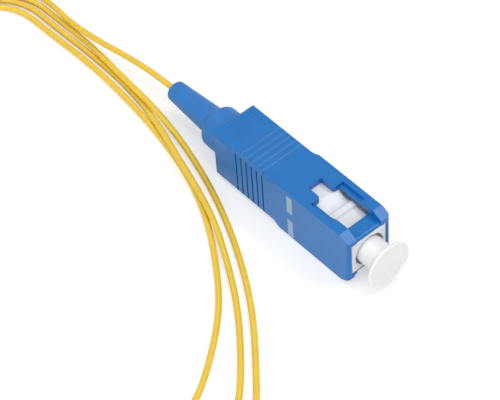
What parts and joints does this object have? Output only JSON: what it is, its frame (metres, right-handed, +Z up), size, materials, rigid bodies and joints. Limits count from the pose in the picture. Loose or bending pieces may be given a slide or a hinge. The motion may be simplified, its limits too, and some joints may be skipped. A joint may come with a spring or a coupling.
{
  "type": "fibre optic pigtail",
  "caption": "Fibre optic pigtail: square push-pull connector with sliding outer housing, sprung ferrule, dust cap and bend-relief boot, on a buffered fibre laid in loose loops.",
  "frame": {"origin": "on the table under the plug's axis, in the middle of the flat land that the outer housing rests on", "axes": "+X along the plug from boot to ferrule tip, +Z up from the table, +Y towards the side with the key"},
  "size_m": [0.0911, 0.0596, 0.009],
  "materials": {
    "housing_blue": "satin moulded",
    "mark_white": "pad-printed ink",
    "frame_white": "moulded",
    "ring_nickel": "nickel plated",
    "ferrule_ceramic": "ground and polished",
    "tube_clear": "extruded",
    "spring_steel": "drawn wire",
    "boot_blue": "satin soft moulding",
    "cap_white": "translucent soft moulding",
    "fibre_glass": "bare fibre",
    "buffer_yellow": "extruded buffer",
    "tie_black": "coated twist tie"
  },
  "bodies": {
    "plug": {"plug_frame": "frame_white", "stop_ring": "ring_nickel", "spring": "spring_steel", "boot": "boot_blue", "fibre_buffer": "buffer_yellow", "fibre_loops": "buffer_yellow", "fibre_hank": "buffer_yellow", "hank_tie": "tie_black"},
    "coupling_sleeve": {"outer_housing": "housing_blue", "index_marks": "mark_white"},
    "ferrule_assembly": {"ferrule": "ferrule_ceramic", "ferrule_flange": "ring_nickel", "guide_tube": "tube_clear", "bare_fibre": "fibre_glass"},
    "cap": {"dust_cap": "cap_white"}
  },
  "joints": [
    {"name": "sleeve_slide", "type": "slide", "parent": "plug", "child": "coupling_sleeve", "axis": [1, 0, 0], "range_m": [-0.0017, 0]},
    {"name": "ferrule_press", "type": "slide", "parent": "plug", "child": "ferrule_assembly", "axis": [1, 0, 0], "range_m": [-0.001, 0], "stiffness_N_per_m": 2500, "deforming": ["spring", "fibre_buffer"]},
    {"name": "cap_pull", "type": "slide", "parent": "ferrule_assembly", "child": "cap", "axis": [1, 0, 0], "range_m": [0, 0.012]}
  ]
}
